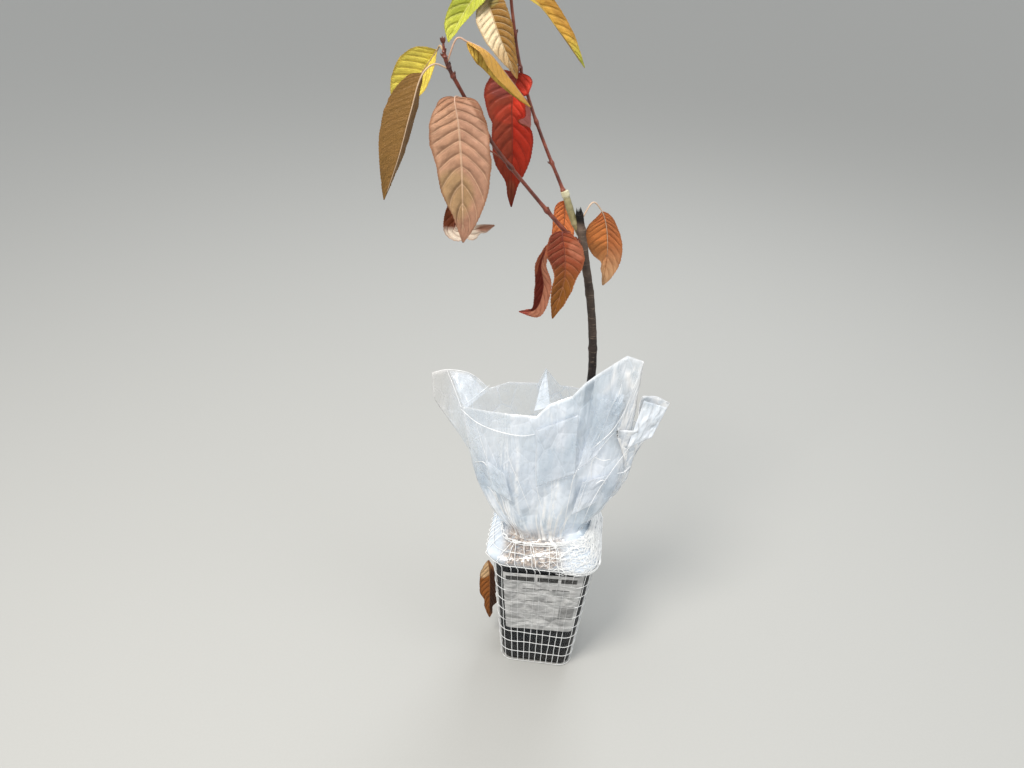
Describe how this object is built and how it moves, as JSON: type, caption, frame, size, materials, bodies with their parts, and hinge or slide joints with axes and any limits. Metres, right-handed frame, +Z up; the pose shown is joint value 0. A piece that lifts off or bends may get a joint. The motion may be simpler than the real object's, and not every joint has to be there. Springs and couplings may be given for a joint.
{
  "type": "potted cherry sapling with root ball",
  "caption": "Young grafted cherry sapling in autumn leaf, its root ball in a square black pot wrapped in clear film, label and white net.",
  "frame": {"origin": "middle of the pot's flat underside", "axes": "+Z up along the plant, -Y out of the labelled front of the pot, +X to the right of that front"},
  "size_m": [0.4314, 0.2676, 1.3221],
  "materials": {
    "pot": "satin",
    "soil": "rough",
    "bag": "gloss",
    "label": "satin",
    "net": "satin",
    "trunk": "rough",
    "graft_stick": "satin",
    "graft_wax": "satin",
    "leader": "satin",
    "left_shoot": "satin",
    "salmon_leaf": "matte",
    "bronze_leaf": "matte",
    "lime_leaf": "satin",
    "gold_leaf": "satin",
    "brown_curl_leaf": "matte",
    "red_leaf": "satin",
    "beige_leaf": "matte",
    "green_leaf": "satin",
    "yellow_leaf": "satin",
    "rust_front_leaf": "matte",
    "rust_fold_leaf": "matte",
    "orange_back_leaf": "matte",
    "orange_right_leaf": "matte",
    "back_leaf": "matte",
    "top_back_leaf": "satin",
    "top_left_leaf": "satin",
    "top_right_leaf": "satin",
    "caught_leaf": "matte"
  },
  "bodies": {
    "root": {"pot": "pot", "soil": "soil", "bag": "bag", "label": "label", "net": "net", "trunk": "trunk", "graft_stick": "graft_stick", "graft_wax": "graft_wax", "leader": "leader", "left_shoot": "left_shoot", "salmon_leaf": "salmon_leaf", "bronze_leaf": "bronze_leaf", "lime_leaf": "lime_leaf", "gold_leaf": "gold_leaf", "brown_curl_leaf": "brown_curl_leaf", "red_leaf": "red_leaf", "beige_leaf": "beige_leaf", "green_leaf": "green_leaf", "yellow_leaf": "yellow_leaf", "rust_front_leaf": "rust_front_leaf", "rust_fold_leaf": "rust_fold_leaf", "orange_back_leaf": "orange_back_leaf", "orange_right_leaf": "orange_right_leaf", "back_leaf": "back_leaf", "top_back_leaf": "top_back_leaf", "top_left_leaf": "top_left_leaf", "top_right_leaf": "top_right_leaf", "caught_leaf": "caught_leaf"}
  },
  "joints": []
}
